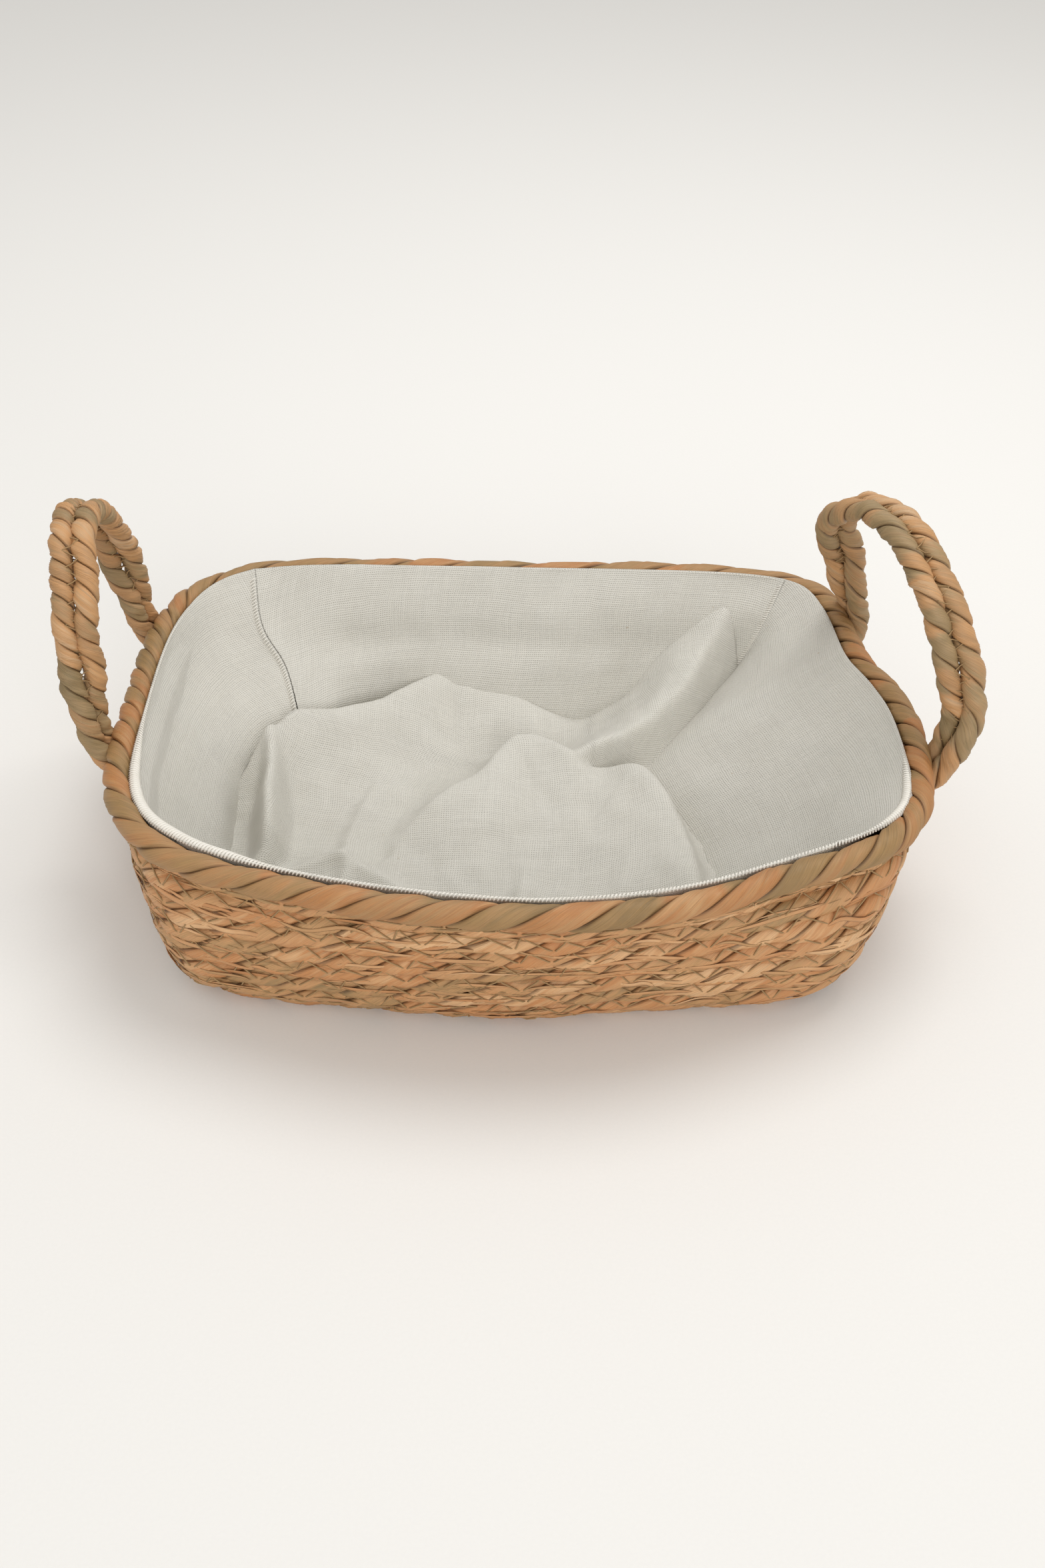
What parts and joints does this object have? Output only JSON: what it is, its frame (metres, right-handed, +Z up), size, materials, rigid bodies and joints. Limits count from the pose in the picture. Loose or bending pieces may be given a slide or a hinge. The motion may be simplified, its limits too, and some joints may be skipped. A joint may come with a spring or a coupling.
{
  "type": "bread basket",
  "caption": "Oval coiled leaf-rope bread basket with a thick twisted rim, a sewn-in cotton liner and two arched rope handles on the short ends.",
  "frame": {"origin": "on the table under the middle of the base", "axes": "+X along the length to the right, +Y to the back, +Z up"},
  "size_m": [0.3355, 0.2179, 0.1444],
  "materials": {
    "body_rope": "dry twisted leaf, matt with a faint satin on the folds",
    "rim_rope": "dry twisted leaf, smooth striated lobes",
    "handle_rope": "dry twisted leaf, smooth striated lobes",
    "stitch_thread": "thin twisted leaf thread",
    "liner_cotton": "loose plain-weave unbleached cotton",
    "liner_hem": "overlocked cotton edge"
  },
  "bodies": {
    "root": {"base_coil_01": "body_rope", "base_coil_02": "body_rope", "base_coil_03": "body_rope", "base_coil_04": "body_rope", "base_coil_05": "body_rope", "base_coil_06": "body_rope", "base_coil_07": "body_rope", "base_coil_08": "body_rope", "base_coil_09": "body_rope", "base_coil_10": "body_rope", "left_handle_back_inner_root": "handle_rope", "left_handle_back_outer_root": "handle_rope", "left_handle_front_inner_root": "handle_rope", "left_handle_front_outer_root": "handle_rope", "liner_back": "liner_cotton", "liner_floor": "liner_cotton", "liner_front": "liner_cotton", "liner_hem": "liner_hem", "liner_left": "liner_cotton", "liner_right": "liner_cotton", "right_handle_back_inner_root": "handle_rope", "right_handle_back_outer_root": "handle_rope", "right_handle_front_inner_root": "handle_rope", "right_handle_front_outer_root": "handle_rope", "rim_rope": "rim_rope", "wall_course_1": "body_rope", "wall_course_2": "body_rope", "wall_course_3": "body_rope", "wall_course_4": "body_rope", "wall_course_5": "body_rope", "wall_course_6": "body_rope", "wall_course_7": "body_rope"},
    "left_handle": {"left_handle_inner_rope": "handle_rope", "left_handle_outer_rope": "handle_rope"},
    "right_handle": {"right_handle_inner_rope": "handle_rope", "right_handle_outer_rope": "handle_rope"}
  },
  "joints": [
    {"name": "left_handle_flex", "type": "hinge", "parent": "root", "child": "left_handle", "pos_m": [-0.1539, -0.019, 0.07], "axis": [-0.0237, 0.9997, 0], "range_deg": [-40, 25], "stiffness_Nm_per_rad": 0.15},
    {"name": "right_handle_flex", "type": "hinge", "parent": "root", "child": "right_handle", "pos_m": [0.155, -0.018, 0.07], "axis": [-0.194, 0.981, 0], "range_deg": [-14, 40], "stiffness_Nm_per_rad": 0.15}
  ]
}
